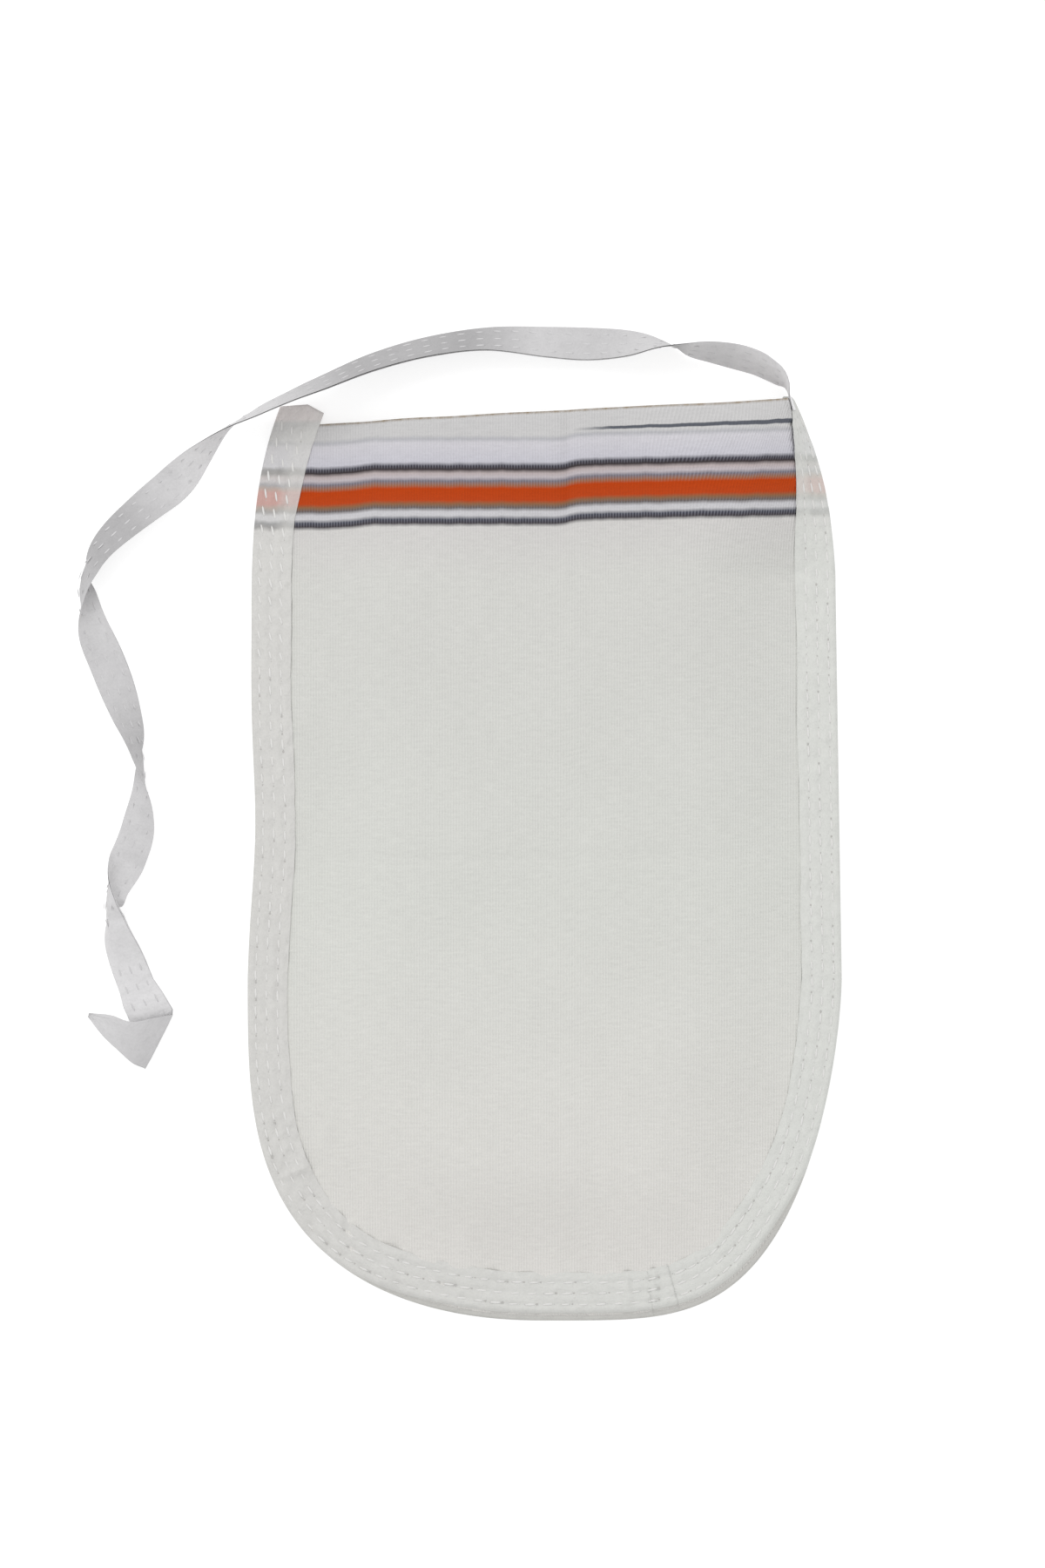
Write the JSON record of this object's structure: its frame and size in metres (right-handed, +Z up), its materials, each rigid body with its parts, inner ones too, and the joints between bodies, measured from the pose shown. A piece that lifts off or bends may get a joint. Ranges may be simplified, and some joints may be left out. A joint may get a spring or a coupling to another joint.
{
  "type": "woven bath mitt",
  "caption": "Flat woven exfoliating bath mitt: an open pouch of striped cloth bound round its edge with folded tape that runs on as a long free hanging strap.",
  "frame": {"origin": "centre of the base of the sewn pouch, on the table it lies on, without the free strap", "axes": "+Z up out of the striped front panel, +Y from the closed round end to the open mouth, +X to the side where the strap leaves"},
  "size_m": [0.1984, 0.2554, 0.0133],
  "materials": {
    "panel_cloth": "coarse ribbed weave, matt, off-white with coloured stripes near the mouth",
    "binding_tape": "thin translucent white tape, matt, slightly crumpled",
    "sewing_thread": "white twisted thread, faint sheen"
  },
  "bodies": {
    "mitt": {"back_panel": "panel_cloth", "front_panel": "panel_cloth", "binding_left": "binding_tape", "binding_right": "binding_tape", "needle_thread_outer": "sewing_thread", "needle_thread_middle": "sewing_thread", "needle_thread_inner": "sewing_thread", "bobbin_thread_outer": "sewing_thread", "bobbin_thread_middle": "sewing_thread", "bobbin_thread_inner": "sewing_thread"},
    "strap": {"strap": "binding_tape"}
  },
  "joints": [
    {"name": "strap_swing", "type": "hinge", "parent": "mitt", "child": "strap", "pos_m": [0.0619, 0.1205, 0.005], "axis": [0, 0, 1], "range_deg": [-150, 0]}
  ]
}
